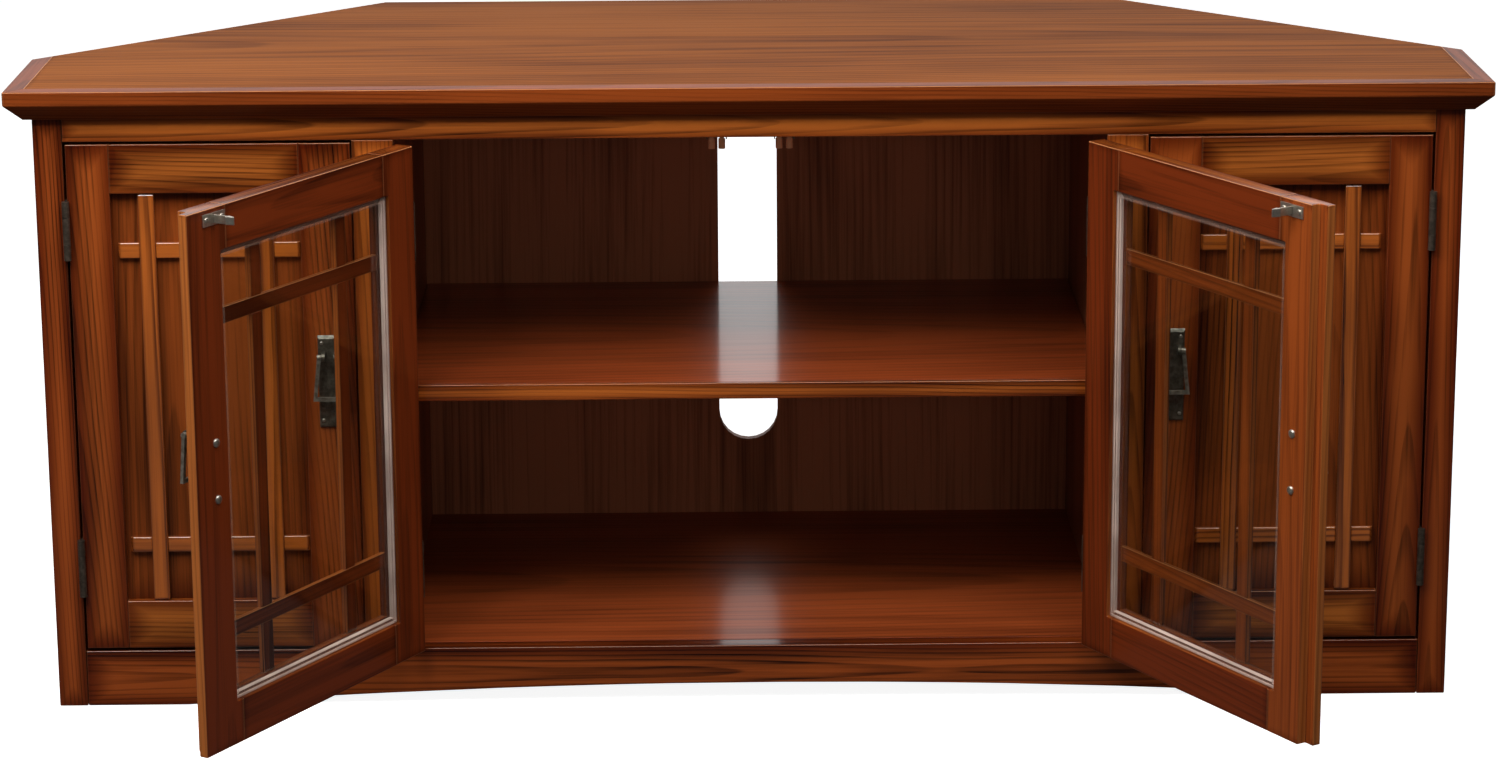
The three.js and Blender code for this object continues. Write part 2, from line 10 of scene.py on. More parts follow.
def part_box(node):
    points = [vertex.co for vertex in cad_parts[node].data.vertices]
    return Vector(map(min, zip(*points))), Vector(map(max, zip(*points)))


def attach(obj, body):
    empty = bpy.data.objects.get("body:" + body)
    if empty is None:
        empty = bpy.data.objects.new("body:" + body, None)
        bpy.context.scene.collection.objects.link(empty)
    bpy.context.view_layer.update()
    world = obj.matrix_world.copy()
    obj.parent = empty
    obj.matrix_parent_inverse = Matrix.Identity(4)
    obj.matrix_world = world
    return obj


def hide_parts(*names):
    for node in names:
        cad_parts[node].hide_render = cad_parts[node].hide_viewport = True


# Corner TV cabinet: boards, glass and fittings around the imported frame.
# Boards are drawn in millimetres in their own place, then moved into the frame.

print("loading the frame")
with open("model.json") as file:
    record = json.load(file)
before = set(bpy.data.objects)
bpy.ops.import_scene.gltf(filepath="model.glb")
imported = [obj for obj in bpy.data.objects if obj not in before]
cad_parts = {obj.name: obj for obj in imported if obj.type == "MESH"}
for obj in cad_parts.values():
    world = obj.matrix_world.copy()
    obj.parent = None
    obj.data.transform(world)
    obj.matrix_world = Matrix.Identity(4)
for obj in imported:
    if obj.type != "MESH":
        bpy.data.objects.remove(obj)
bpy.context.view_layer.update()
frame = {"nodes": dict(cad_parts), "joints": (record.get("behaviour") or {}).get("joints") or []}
mm = 0.001
dice = random.Random(7)

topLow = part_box("top_board")[0]
carcassPlace = Matrix.Translation((0, topLow.y, 0)) @ Matrix.Diagonal((mm, mm, mm, 1))
openAngles = {"left_glass_door": -121, "right_glass_door": 121}


def doorPlace(door):
    hinge = next(j for j in frame["joints"] if j["name"] == door + "_swing")["pos_m"]
    side = -1 if door.startswith("right") else 1
    turn = Matrix.Rotation(math.radians(openAngles.get(door, 0)), 4, "Z")
    return (Matrix.Translation((hinge[0], hinge[1], 0)) @ turn
            @ Matrix.Diagonal((side * mm, mm, mm, 1)))


# small tools for shader nodes

def newMaterial(name):
    material = bpy.data.materials.new(name)
    material.use_nodes = True
    tree = material.node_tree
    shader = tree.nodes["Principled BSDF"]
    return material, tree, shader


def put(tree, socket, value):
    if isinstance(value, bpy.types.NodeSocket):
        tree.links.new(value, socket)
    else:
        socket.default_value = value


def calc(tree, operation, *values, clamp=False):
    node = tree.nodes.new("ShaderNodeMath")
    node.operation = operation
    node.use_clamp = clamp
    for socket, value in zip(node.inputs, values):
        put(tree, socket, value)
    return node.outputs[0]


def remap(tree, value, low, high, toLow=0.0, toHigh=1.0):
    node = tree.nodes.new("ShaderNodeMapRange")
    node.interpolation_type = "SMOOTHSTEP"
    for socket, v in zip(node.inputs, (value, low, high, toLow, toHigh)):
        put(tree, socket, v)
    return node.outputs[0]


def mixColour(tree, share, a, b, blend="MIX"):
    node = tree.nodes.new("ShaderNodeMix")
    node.data_type = "RGBA"
    node.blend_type = blend
    put(tree, node.inputs["Factor"], share)
    for key, value in (("A", a), ("B", b)):
        socket = next(s for s in node.inputs if s.name == key and s.type == "RGBA")
        put(tree, socket, value if isinstance(value, bpy.types.NodeSocket) else (*value, 1))
    return next(s for s in node.outputs if s.type == "RGBA")


def noise(tree, vector, scale, detail, roughness):
    node = tree.nodes.new("ShaderNodeTexNoise")
    put(tree, node.inputs["Vector"], vector)
    put(tree, node.inputs["Scale"], scale)
    put(tree, node.inputs["Detail"], detail)
    put(tree, node.inputs["Roughness"], roughness)
    return node.outputs["Fac"]


def addRelief(tree, shader, height, strength, distance):
    bump = tree.nodes.new("ShaderNodeBump")
    bump.inputs["Strength"].default_value = strength
    bump.inputs["Distance"].default_value = distance
    put(tree, bump.inputs["Height"], height)
    put(tree, shader.inputs["Normal"], bump.outputs[0])


def surfaceNoise(tree, scale, detail, roughness):
    spot = tree.nodes.new("ShaderNodeTexCoord").outputs["Object"]
    return noise(tree, spot, scale, detail, roughness)


def linear(r, g, b):
    # a colour as read from a screen, 0 to 255, for a shader
    return tuple((c / 255 / 12.92) if c <= 10 else ((c / 255 + 0.055) / 1.055) ** 2.4
                 for c in (r, g, b))


# wood

# What some finishes have in common: stained fronts, glazed doors' backs, veneered boards, the inside.
frontOak = dict(pith=0.03, rubAndHighlight=0.1, rough=0.4, shine=0.06, coat=0.8, coatIor=1.55, coatRough=0.12)
doorBack = dict(ring=0.005, rings=0.3, slope=0.02, pith=0.04, glazeAndShade=0.006, seamAndGapShade=0.42, rubAndHighlight=0.2,
                rough=0.4, shine=0.06, coat=0.5, coatIor=1.6, coatRough=0.14)
veneer = dict(ring=0.007, rings=0.3, slope=0.02, pith=0.2, streaks=0.7, patch=0.16, glazeAndShade=0.003,
              glazeAndShadeDepth=0.2, seamAndGapShade=0.8, rubAndHighlight=0.0, coatIor=1.5)
plainOak = dict(rubAndHighlight=0.0, rough=0.42, shine=0.06, coat=0.15, coatIor=1.5, coatRough=0.2)
# What a board's finish is made of. Widths are in metres.
woodLooks = {
    "topVeneer": dict(light=(149, 84, 33), dark=(86, 40, 12), ring=0.007, rings=0.35, slope=0.02,
                      pith=0.2, streaks=0.7, patch=0.18, glazeAndShade=0.004, glazeAndShadeDepth=0.2, seamAndGapShade=0.75,
                      rubAndHighlight=0.0, rough=0.46, shine=0.012, coat=0.0, coatIor=1.5, coatRough=0.2),
    "topLipping": dict(light=(138, 63, 23), dark=(80, 31, 10), ring=0.004, rings=0.35, slope=0.02,
                       pith=0.03, streaks=0.6, patch=0.16, glazeAndShade=0.003, glazeAndShadeDepth=0.3, seamAndGapShade=0.6,
                       rubAndHighlight=0.2, rough=0.4, shine=0.04, coat=0.14, coatIor=1.7, coatRough=0.12),
    "railOak": dict(light=(198, 106, 39), dark=(70, 26, 8), ring=0.0036, rings=0.46, slope=0.015,
                    streaks=0.6, patch=0.24, glazeAndShade=0.012, glazeAndShadeDepth=0.74, seamAndGapShade=0.36, **frontOak),
    "postOak": dict(light=(170, 80, 30), dark=(50, 18, 5), ring=0.0036, rings=0.46, slope=0.015,
                    streaks=0.6, patch=0.28, glazeAndShade=0.019, glazeAndShadeDepth=0.86, seamAndGapShade=0.3, **frontOak),
    "doorOak": dict(light=(186, 102, 38), dark=(66, 25, 7), ring=0.0042, rings=0.33, slope=0.02,
                    streaks=0.6, patch=0.26, glazeAndShade=0.019, glazeAndShadeDepth=0.86, seamAndGapShade=0.28, **frontOak),
    "stileOak": dict(light=(166, 80, 30), dark=(50, 19, 5), ring=0.0046, rings=0.44, slope=0.034,
                     streaks=0.55, patch=0.28, glazeAndShade=0.021, glazeAndShadeDepth=0.88, seamAndGapShade=0.26, **frontOak),
    "latticeOak": dict(light=(194, 102, 35), dark=(84, 33, 9), ring=0.004, rings=0.6, slope=0.004,
                       pith=0.03, streaks=0.6, patch=0.16, glazeAndShade=0.003, glazeAndShadeDepth=0.45, seamAndGapShade=0.66,
                       rubAndHighlight=0.18, rough=0.36, shine=0.06, coat=1.0, coatIor=2.1, coatRough=0.1,
                       wander=0.005),
    "panelOak": dict(light=(144, 69, 25), dark=(46, 18, 6), ring=0.006, rings=0.3, slope=0.03,
                     pith=0.04, streaks=0.6, patch=0.3, glazeAndShade=0.026, glazeAndShadeDepth=0.8, seamAndGapShade=0.45,
                     rubAndHighlight=0.0, rough=0.4, shine=0.06, coat=0.4, coatIor=1.5, coatRough=0.16),
    "doorBackOak": dict(light=(122, 49, 18), dark=(58, 21, 8), streaks=0.8, patch=0.22,
                        glazeAndShadeDepth=0.45, **doorBack),
    # a paler copy for the right glazed door's inside: painted light where the light falls on that door
    "doorBackPaintedLit": dict(light=(164, 78, 30), dark=(88, 36, 13), streaks=0.6, patch=0.16,
                         glazeAndShadeDepth=0.4, **doorBack),
    "shelfOak": dict(light=(162, 72, 32), dark=(100, 40, 16), rough=0.4, shine=0.1, coat=0.95,
                     coatRough=0.12, **veneer),
    "baseOak": dict(light=(158, 73, 33), dark=(96, 40, 16), rough=0.42, shine=0.06, coat=0.5,
                    coatRough=0.18, **veneer),
    # a lighter finish for the closing edge of the glazed doors: a painted highlight for the light that edge
    # catches
    "paintedLitEdgeOak": dict(light=(206, 118, 54), dark=(110, 48, 20), ring=0.004, rings=0.3, slope=0.01,
                    pith=0.04, streaks=0.5, patch=0.14, glazeAndShade=0.002, glazeAndShadeDepth=0.3, seamAndGapShade=0.6,
                    rubAndHighlight=0.14, rough=0.4, shine=0.06, coat=0.8, coatIor=1.6, coatRough=0.12),
    "backOak": dict(light=(178, 108, 74), dark=(80, 41, 26), ring=0.009, rings=0.2, slope=0.03,
                    pith=0.06, streaks=0.4, patch=0.22, glazeAndShade=0.01, glazeAndShadeDepth=0.3, seamAndGapShade=0.7,
                    **plainOak),
    "insideOak": dict(light=(158, 92, 60), dark=(84, 42, 26), ring=0.005, rings=0.28, slope=0.02,
                      pith=0.1, streaks=0.4, patch=0.16, glazeAndShade=0.01, glazeAndShadeDepth=0.3, seamAndGapShade=0.7,
                      **plainOak),
}


# The noises behind the grain: scale along and across the board, shift from board to board,
# detail and roughness.
grainNoises = {
    "wander": (1.7, 5, 31, 1.0, 0.5),
    "wobble": (9, 45, 57, 1.0, 0.5),
    "fibre": (7, 420, 83, 3.0, 0.6),
    "streak": (1.6, 75, 19, 2.0, 0.5),
    "cloud": (3.0, 11, 47, 2.0, 0.5),
    "patch": (1.3, 16, 23, 1.0, 0.5),
}
# How far the noises move the rings, and the part of a ring that is late wood.
ringCut = dict(wander=0.016, wobble=0.0012, pithSpread=0.06, pithStart=-0.01, slopeSpread=1.6,
               slopeLeast=0.3, lateFrom=0.45, lateFull=0.88, lateEnd=0.93)
# What part of each noise counts, and how much lighter or darker it makes the wood.
shadeCut = dict(streak=(0.35, 0.7), streakShare=0.5, fibre=(0.35, 0.75, -0.12, 0.22),
                cloud=(0.3, 0.7, -0.16, 0.18), patch=(0.3, 0.7))
# Darkening along board edges and seams: partly glaze, partly painted shade in the gaps and recesses between
# parts; tint is its colour.
glazeAndShadeCut = dict(endShare=0.6, waver=0.9, seamAndGapShade=(-0.0005, 0.0022), tint=(0.25, 0.11, 0.08))
# Rubbed edges are painted lighter: partly wear, partly a painted highlight, several times stronger on edges
# that look up.
rubAndHighlightCut = dict(edge=(0.0002, 0.0012), upward=(0.1, 0.5), highlightOnTop=4.5, most=0.8, rubAndHighlightTone=(214, 142, 90))
reliefCut = dict(rough=0.14, strength=0.25, distance=0.0004, fibre=0.8, late=0.4)


def woodFinish(name):
    look = woodLooks[name]
    material, tree, shader = newMaterial(name)
    place = tree.nodes.new("ShaderNodeAttribute")
    place.attribute_name = "boardPlace"  # metres along, across and through the board
    half = tree.nodes.new("ShaderNodeAttribute")
    half.attribute_name = "boardHalf"
    lot = tree.nodes.new("ShaderNodeAttribute")
    lot.attribute_name = "boardLot"  # three chance values that are the same all over a board

    def split(source):
        node = tree.nodes.new("ShaderNodeSeparateXYZ")
        put(tree, node.inputs[0], source)
        return node.outputs

    def grain(kind):
        alongScale, acrossScale, shift, detail, roughness = grainNoises[kind]
        move = tree.nodes.new("ShaderNodeVectorMath")
        move.operation = "SCALE"
        put(tree, move.inputs[0], lot.outputs["Vector"])
        move.inputs["Scale"].default_value = shift
        spot = tree.nodes.new("ShaderNodeVectorMath")
        spot.operation = "MULTIPLY_ADD"
        put(tree, spot.inputs[0], place.outputs["Vector"])
        spot.inputs[1].default_value = (alongScale, acrossScale, acrossScale)
        put(tree, spot.inputs[2], move.outputs[0])
        return noise(tree, spot.outputs[0], 1.0, detail, roughness)

    along, across, through = split(place.outputs["Vector"])
    halfLength, halfWidth, halfThickness = split(half.outputs["Vector"])
    chanceA, chanceB, chanceC = split(lot.outputs["Vector"])

    # growth rings round a pith beside the board, wandering along it
    wander, wobble = grain("wander"), grain("wobble")
    sideways = calc(tree, "ADD", across,
                    calc(tree, "MULTIPLY_ADD", chanceA, ringCut["pithSpread"], ringCut["pithStart"]))
    depth = calc(tree, "ADD", through, look["pith"])
    radius = calc(tree, "SQRT", calc(tree, "ADD", calc(tree, "MULTIPLY", sideways, sideways),
                                     calc(tree, "MULTIPLY", depth, depth)))
    taper = calc(tree, "MULTIPLY", along,
                 calc(tree, "MULTIPLY_ADD", chanceB, look["slope"] * ringCut["slopeSpread"],
                      look["slope"] * ringCut["slopeLeast"]))
    path = calc(tree, "ADD", calc(tree, "ADD", radius, taper),
                calc(tree, "MULTIPLY_ADD", wander, look.get("wander", ringCut["wander"]),
                     calc(tree, "MULTIPLY", wobble, ringCut["wobble"])))
    ring = calc(tree, "FRACT", calc(tree, "ADD", calc(tree, "DIVIDE", path, look["ring"]), chanceC))
    late = calc(tree, "MULTIPLY", remap(tree, ring, ringCut["lateFrom"], ringCut["lateFull"]),
                remap(tree, ring, 1.0, ringCut["lateEnd"]))
    fibre, streak, cloud, patch = (grain(kind) for kind in ("fibre", "streak", "cloud", "patch"))

    shade = calc(tree, "MULTIPLY", late, look["rings"])
    shade = calc(tree, "ADD", shade, calc(tree, "MULTIPLY", remap(tree, streak, *shadeCut["streak"]),
                                          look["streaks"] * shadeCut["streakShare"]))
    shade = calc(tree, "ADD", shade, remap(tree, fibre, *shadeCut["fibre"]))
    shade = calc(tree, "ADD", shade, remap(tree, cloud, *shadeCut["cloud"]))
    blotch = remap(tree, patch, *shadeCut["patch"], -look["patch"], look["patch"])
    shade = calc(tree, "ADD", shade, blotch, clamp=True)
    colour = mixColour(tree, shade, linear(*look["light"]), linear(*look["dark"]))

    # the glaze wiped off the middle of each face stays dark along its edges, and further in at its ends,
    # with a darker line at every seam: this darkening is partly real glaze and partly painted shade for the
    # gaps, recesses and joints between the parts.
    # on a board's face the middle one of the three depths below its faces is the way to the nearest edge
    edge = calc(tree, "SUBTRACT", halfWidth, calc(tree, "ABSOLUTE", across))
    end = calc(tree, "MULTIPLY", calc(tree, "SUBTRACT", halfLength, calc(tree, "ABSOLUTE", along)),
               glazeAndShadeCut["endShare"])
    skin = calc(tree, "SUBTRACT", halfThickness, calc(tree, "ABSOLUTE", through))
    inset = calc(tree, "MAXIMUM", calc(tree, "MINIMUM", edge, end),
                 calc(tree, "MINIMUM", calc(tree, "MAXIMUM", edge, end), skin))
    waver = calc(tree, "MULTIPLY", calc(tree, "SUBTRACT", cloud, 0.5), look["glazeAndShade"] * glazeAndShadeCut["waver"])
    near = calc(tree, "SUBTRACT", inset, waver)
    glazeAndShade = calc(tree, "MULTIPLY", remap(tree, near, 0.0, look["glazeAndShade"], 1.0 - look["glazeAndShadeDepth"], 1.0),
                 remap(tree, near, *glazeAndShadeCut["seamAndGapShade"], look["seamAndGapShade"], 1.0))
    colour = mixColour(tree, 1.0, colour, mixColour(tree, glazeAndShade, glazeAndShadeCut["tint"], (1, 1, 1)), "MULTIPLY")
    # and is rubbed thin on the rounded edges, which are painted lighter: partly wear, and partly a painted
    # highlight that is strongest on the edges that look up towards the light
    if look["rubAndHighlight"]:
        upward = split(tree.nodes.new("ShaderNodeNewGeometry").outputs["Normal"])[2]
        worn = calc(tree, "MULTIPLY", remap(tree, inset, *rubAndHighlightCut["edge"], look["rubAndHighlight"], 0.0),
                    remap(tree, upward, *rubAndHighlightCut["upward"], 1.0, rubAndHighlightCut["highlightOnTop"]))
        colour = mixColour(tree, calc(tree, "MINIMUM", worn, rubAndHighlightCut["most"]), colour,
                           linear(*rubAndHighlightCut["rubAndHighlightTone"]))
    put(tree, shader.inputs["Base Color"], colour)
    rough = calc(tree, "ADD", look["rough"],
                 calc(tree, "MULTIPLY_ADD", fibre, reliefCut["rough"], -reliefCut["rough"] / 2))
    put(tree, shader.inputs["Roughness"], rough)
    shader.inputs["Coat Weight"].default_value = look["coat"]
    shader.inputs["Coat Roughness"].default_value = look["coatRough"]
    shader.inputs["Coat IOR"].default_value = look["coatIor"]
    shader.inputs["Specular IOR Level"].default_value = look["shine"]
    height = calc(tree, "SUBTRACT", calc(tree, "MULTIPLY", fibre, reliefCut["fibre"]),
                  calc(tree, "MULTIPLY", late, reliefCut["late"]))
    addRelief(tree, shader, height, reliefCut["strength"], reliefCut["distance"])
    return material


print("mixing the finishes")
woods = {name: woodFinish(name) for name in woodLooks}

metalLooks = {
    "hingeBronze": dict(light=(120, 106, 92), dark=(44, 36, 30), rough=0.3, wear=0.6, metal=0.6),
    "agedBronze": dict(light=(150, 142, 124), dark=(70, 66, 56), rough=0.3, wear=0.5, metal=0.6),
    "rubbedBronze": dict(light=(206, 196, 178), dark=(110, 102, 88), rough=0.34, wear=0.6, metal=0.7),
    "nickelPlate": dict(light=(240, 232, 218), dark=(184, 174, 158), rough=0.26, wear=0.3, metal=0.9),
}
# Noises as scale, detail and roughness; the patina, worn edges and polish they give.
metalCut = dict(mottle=(160.0, 4.0, 0.6), fine=(900.0, 2.0, 0.5), patina=(0.3, 0.75, 0.0, 0.55),
                worn=(0.52, 0.62), polish=(0.3, 0.8), dull=0.12, strength=0.2, distance=0.0003)


def metalFinish(name):
    look = metalLooks[name]
    material, tree, shader = newMaterial(name)
    mottle = surfaceNoise(tree, *metalCut["mottle"])
    fine = surfaceNoise(tree, *metalCut["fine"])
    worn = tree.nodes.new("ShaderNodeNewGeometry").outputs["Pointiness"]
    shade = calc(tree, "ADD", remap(tree, mottle, *metalCut["patina"]),
                 remap(tree, worn, *metalCut["worn"], 0.0, look["wear"]), clamp=True)
    put(tree, shader.inputs["Base Color"],
        mixColour(tree, shade, linear(*look["dark"]), linear(*look["light"])))
    put(tree, shader.inputs["Roughness"],
        remap(tree, mottle, *metalCut["polish"], look["rough"] + metalCut["dull"], look["rough"]))
    shader.inputs["Metallic"].default_value = look["metal"]
    addRelief(tree, shader, fine, metalCut["strength"], metalCut["distance"])
    return material


metals = {name: metalFinish(name) for name in metalLooks}


# Gleam is how much of the glass mirrors face on, slantGleam how much more seen from the side.
glassLook = dict(tint=(0.93, 0.95, 0.94), smear=(6.0, 3.0, 0.6), rough=(0.3, 0.8, 0.01, 0.05),
                 gleam=0.055, slantGleam=0.9, slantPower=5.0)


def clearGlass():
    look = glassLook
    material, tree, shader = newMaterial("doorGlass")
    smear = surfaceNoise(tree, *look["smear"])
    glossy = tree.nodes.new("ShaderNodeBsdfGlossy")
    put(tree, glossy.inputs["Roughness"], remap(tree, smear, *look["rough"]))
    through = tree.nodes.new("ShaderNodeBsdfTransparent")
    through.inputs["Color"].default_value = (*look["tint"], 1)
    slant = tree.nodes.new("ShaderNodeLayerWeight")
    gleam = calc(tree, "MULTIPLY_ADD", calc(tree, "POWER", slant.outputs["Facing"], look["slantPower"]),
                 look["slantGleam"], look["gleam"])
    mix = tree.nodes.new("ShaderNodeMixShader")
    put(tree, mix.inputs[0], gleam)
    tree.links.new(through.outputs[0], mix.inputs[1])
    tree.links.new(glossy.outputs[0], mix.inputs[2])
    tree.nodes.remove(shader)
    output = tree.nodes["Material Output"]
    tree.links.new(mix.outputs[0], output.inputs["Surface"])
    return material


rollerLook = dict(light=(255, 178, 132), dark=(240, 152, 110), cloud=(70.0, 3.0, 0.6),
                  rough=(0.3, 0.7, 0.5, 0.62), shine=0.2)


def rollerNylon():
    look = rollerLook
    material, tree, shader = newMaterial("rollerNylon")
    cloud = surfaceNoise(tree, *look["cloud"])
    put(tree, shader.inputs["Base Color"],
        mixColour(tree, cloud, linear(*look["dark"]), linear(*look["light"])))
    put(tree, shader.inputs["Roughness"], remap(tree, cloud, *look["rough"]))
    shader.inputs["Specular IOR Level"].default_value = look["shine"]
    return material


# The clear strips round the glass: veil is how much of them shows face on, rim how much more edge on.
retainerLooks = {
    "clearRetainer": dict(tint=(226, 190, 170), veil=0.12, rim=0.1),
    # a paler, less clear copy for the faces that gather the light: painted light
    "brightRetainer": dict(tint=(244, 216, 200), veil=0.62, rim=0.6),
}
retainerCut = dict(cloud=(14.0, 2.0, 0.5), spread=(0.3, 0.7), rough=(0.12, 0.25), veil=(0.7, 1.3),
                   rimPower=3.0)


def clearPlastic(name):
    look, cut = retainerLooks[name], retainerCut
    material, tree, shader = newMaterial(name)
    cloud = surfaceNoise(tree, *cut["cloud"])
    shader.inputs["Base Color"].default_value = (*linear(*look["tint"]), 1)
    put(tree, shader.inputs["Roughness"], remap(tree, cloud, *cut["spread"], *cut["rough"]))
    slant = tree.nodes.new("ShaderNodeLayerWeight")
    rim = calc(tree, "POWER", slant.outputs["Facing"], cut["rimPower"])
    thin, thick = (look["veil"] * share for share in cut["veil"])
    put(tree, shader.inputs["Alpha"],
        calc(tree, "ADD", remap(tree, cloud, *cut["spread"], thin, thick),
             calc(tree, "MULTIPLY", rim, look["rim"]), clamp=True))
    return material


glassFinish = clearGlass()
rollerFinish = rollerNylon()
retainers = {name: clearPlastic(name) for name in retainerLooks}


# board making

# Angles in degrees; past is how far a small cutter runs past what it cuts, facing how square to a
# board's back a face has to be to count as part of it.
meshing = dict(weld=0.002, flat=0.6, flatCut=0.5, corner=35, smooth=50, segments=2, past=1, facing=0.5)


def skinned(rings):
    # a closed solid through rings of as many points each, flat at both ends
    solid = bmesh.new()
    loops = [[solid.verts.new(spot) for spot in ring] for ring in rings]
    for end in (loops[0], loops[-1]):
        solid.faces.new(end)
    for a, b in zip(loops, loops[1:]):
        for i in range(len(a)):
            j = (i + 1) % len(a)
            solid.faces.new((a[i], a[j], b[j], b[i]))
    bmesh.ops.recalc_face_normals(solid, faces=solid.faces)
    return solid


def sweep(outline, axis, low, high):
    # an outline in the other two axes, carried along x or z
    order = {"x": lambda a, b, c: (c, a, b), "z": lambda a, b, c: (a, b, c)}[axis]
    return skinned([[order(a, b, c) for a, b in outline] for c in (low, high)])


def block(x, y, z):
    return sweep([(x[0], y[0]), (x[1], y[0]), (x[1], y[1]), (x[0], y[1])], "z", *z)


def fromNode(node, place):
    # the node's own shape in its place's millimetres, with its flat faces whole again
    solid = bmesh.new()
    solid.from_mesh(frame["nodes"][node].data)
    flipped = place.determinant() < 0
    bmesh.ops.transform(solid, matrix=place.inverted(), verts=solid.verts)
    if flipped:
        bmesh.ops.reverse_faces(solid, faces=solid.faces)
    bmesh.ops.remove_doubles(solid, verts=solid.verts, dist=meshing["weld"])
    flattened(solid, meshing["flat"])
    return solid


def flattened(solid, angle):
    # takes out the edges between faces that lie in one plane
    bmesh.ops.dissolve_limit(solid, angle_limit=math.radians(angle), verts=solid.verts, edges=solid.edges)


def boxOf(node, place):
    solid = fromNode(node, place)
    low = [min(v.co[i] for v in solid.verts) for i in range(3)]
    high = [max(v.co[i] for v in solid.verts) for i in range(3)]
    solid.free()
    return tuple((low[i], high[i]) for i in range(3))


def helperOf(solid):
    # an object for modifiers to work on
    mesh = bpy.data.meshes.new("helper")
    solid.to_mesh(mesh)
    solid.free()
    helper = bpy.data.objects.new("helper", mesh)
    bpy.context.scene.collection.objects.link(helper)
    return helper


def finished(*helpers):
    # the first one with its modifiers applied; all of them are taken away
    done = helpers[0].evaluated_get(bpy.context.evaluated_depsgraph_get())
    result = bmesh.new()
    result.from_mesh(done.to_mesh())
    done.to_mesh_clear()
    for helper in helpers:
        mesh = helper.data
        bpy.data.objects.remove(helper)
        bpy.data.meshes.remove(mesh)
    return result


def eased(solid, radius, share=None, corner=meshing["corner"]):
    # rounds the sharp edges; share(middle of the edge) makes some of them finer
    layer = solid.edges.layers.float.get("bevel_weight_edge") or \
        solid.edges.layers.float.new("bevel_weight_edge")
    for edge in solid.edges:
        sharp = len(edge.link_faces) == 2 and edge.calc_face_angle() > math.radians(corner)
        middle = (edge.verts[0].co + edge.verts[1].co) / 2
        edge[layer] = (share(middle) if share else 1.0) if sharp else 0.0
    helper = helperOf(solid)
    bevel = helper.modifiers.new("edges", "BEVEL")
    bevel.limit_method = "WEIGHT"
    bevel.width = radius
    bevel.segments = meshing["segments"]
    bevel.use_clamp_overlap = True
    bevel.miter_outer = "MITER_ARC"
    return finished(helper)


def carved(solid, *tools):
    # cuts other solids out of one
    helpers = [helperOf(shape) for shape in (solid, *tools)]
    for tool in helpers[1:]:
        cut = helpers[0].modifiers.new("cut", "BOOLEAN")
        cut.object = tool
        cut.operation = "DIFFERENCE"
        cut.solver = "EXACT"
    result = finished(*helpers)
    flattened(result, meshing["flatCut"])
    return result


axes = {"x": 0, "y": 1, "z": 2}


def board(solid, grain, face, wood, radius, share=None, back=None, edge=None):
    # one board: its grain runs along one axis and its broad face looks along another.
    # back is a second finish for the face on the high side, edge a third for its far long edge.
    return dict(solid=eased(solid, radius, share), grain=axes[grain], face=axes[face],
                wood=wood, back=back, edge=edge, lot=[dice.random() for _ in range(3)])


def addSolid(solid, place, points, faces):
    # a solid's points and faces join a piece's, right way out on mirrored doors too
    start = len(points)
    flipped = place.determinant() < 0
    solid.verts.index_update()
    points += [place @ vertex.co for vertex in solid.verts]
    for poly in solid.faces:
        ring = [start + vertex.index for vertex in poly.verts]
        faces.append(ring[::-1] if flipped else ring)


def woodPiece(name, boards, place, body, nodes):
    # gathers boards into one piece that stands for its nodes and moves with a body
    mesh = bpy.data.meshes.new(name)
    finishes, points, faces, slots, placeValues, halfValues, lotValues = [], [], [], [], [], [], []
    for item in boards:
        solid, grain, face = item["solid"], item["grain"], item["face"]
        across = 3 - grain - face
        low = [min(v.co[i] for v in solid.verts) for i in range(3)]
        high = [max(v.co[i] for v in solid.verts) for i in range(3)]
        middle = [(a + b) / 2 for a, b in zip(low, high)]
        half = [(high[i] - low[i]) / 2 * mm for i in (grain, across, face)]
        for wood in (item["wood"], item["back"], item["edge"]):
            if wood and wood not in finishes:
                finishes.append(wood)
        addSolid(solid, place, points, faces)
        for vertex in solid.verts:
            placeValues += [(vertex.co[i] - middle[i]) * mm for i in (grain, across, face)]
            halfValues += half
            lotValues += item["lot"]
        for poly in solid.faces:
            isBack = item["back"] and poly.normal[face] > meshing["facing"]
            isEdge = item["edge"] and poly.normal[across] > meshing["facing"]
            slots.append(finishes.index(item["back"] if isBack else item["edge"] if isEdge
                                        else item["wood"]))
        solid.free()
    mesh.from_pydata(points, [], faces)
    for key, values in (("boardPlace", placeValues), ("boardHalf", halfValues), ("boardLot", lotValues)):
        mesh.attributes.new(key, "FLOAT_VECTOR", "POINT").data.foreach_set("vector", values)
    for wood in finishes:
        mesh.materials.append(woods[wood])
    mesh.polygons.foreach_set("material_index", slots)
    return dressed(name, mesh, body, nodes)


def dressed(name, mesh, body, nodes):
    # what every piece gets: smooth shading with crisp edges, its body and its nodes
    mesh.polygons.foreach_set("use_smooth", [True] * len(mesh.polygons))
    mesh.set_sharp_from_angle(angle=math.radians(meshing["smooth"]))
    piece = bpy.data.objects.new(name, mesh)
    bpy.context.scene.collection.objects.link(piece)
    even = piece.modifiers.new("even normals", "WEIGHTED_NORMAL")
    even.keep_sharp = True
    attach(piece, body)
    if nodes:
        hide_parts(*nodes)
    return piece


def plainPiece(name, solids, place, body, nodes, material):
    # one finish all over, for metal, glass and plastic
    mesh = bpy.data.meshes.new(name)
    points, faces = [], []
    for solid in solids:
        addSolid(solid, place, points, faces)
        solid.free()
    mesh.from_pydata(points, [], faces)
    mesh.materials.append(material)
    return dressed(name, mesh, body, nodes)


# carcass

print("building the carcass")
top = dict(lip=20, returnDepth=185, bevelDepth=17, edgeFace=14.5, jointRadius=0.35, arris=1.4, near=0.5)
topX, topY, topZ = boxOf("top_board", carcassPlace)


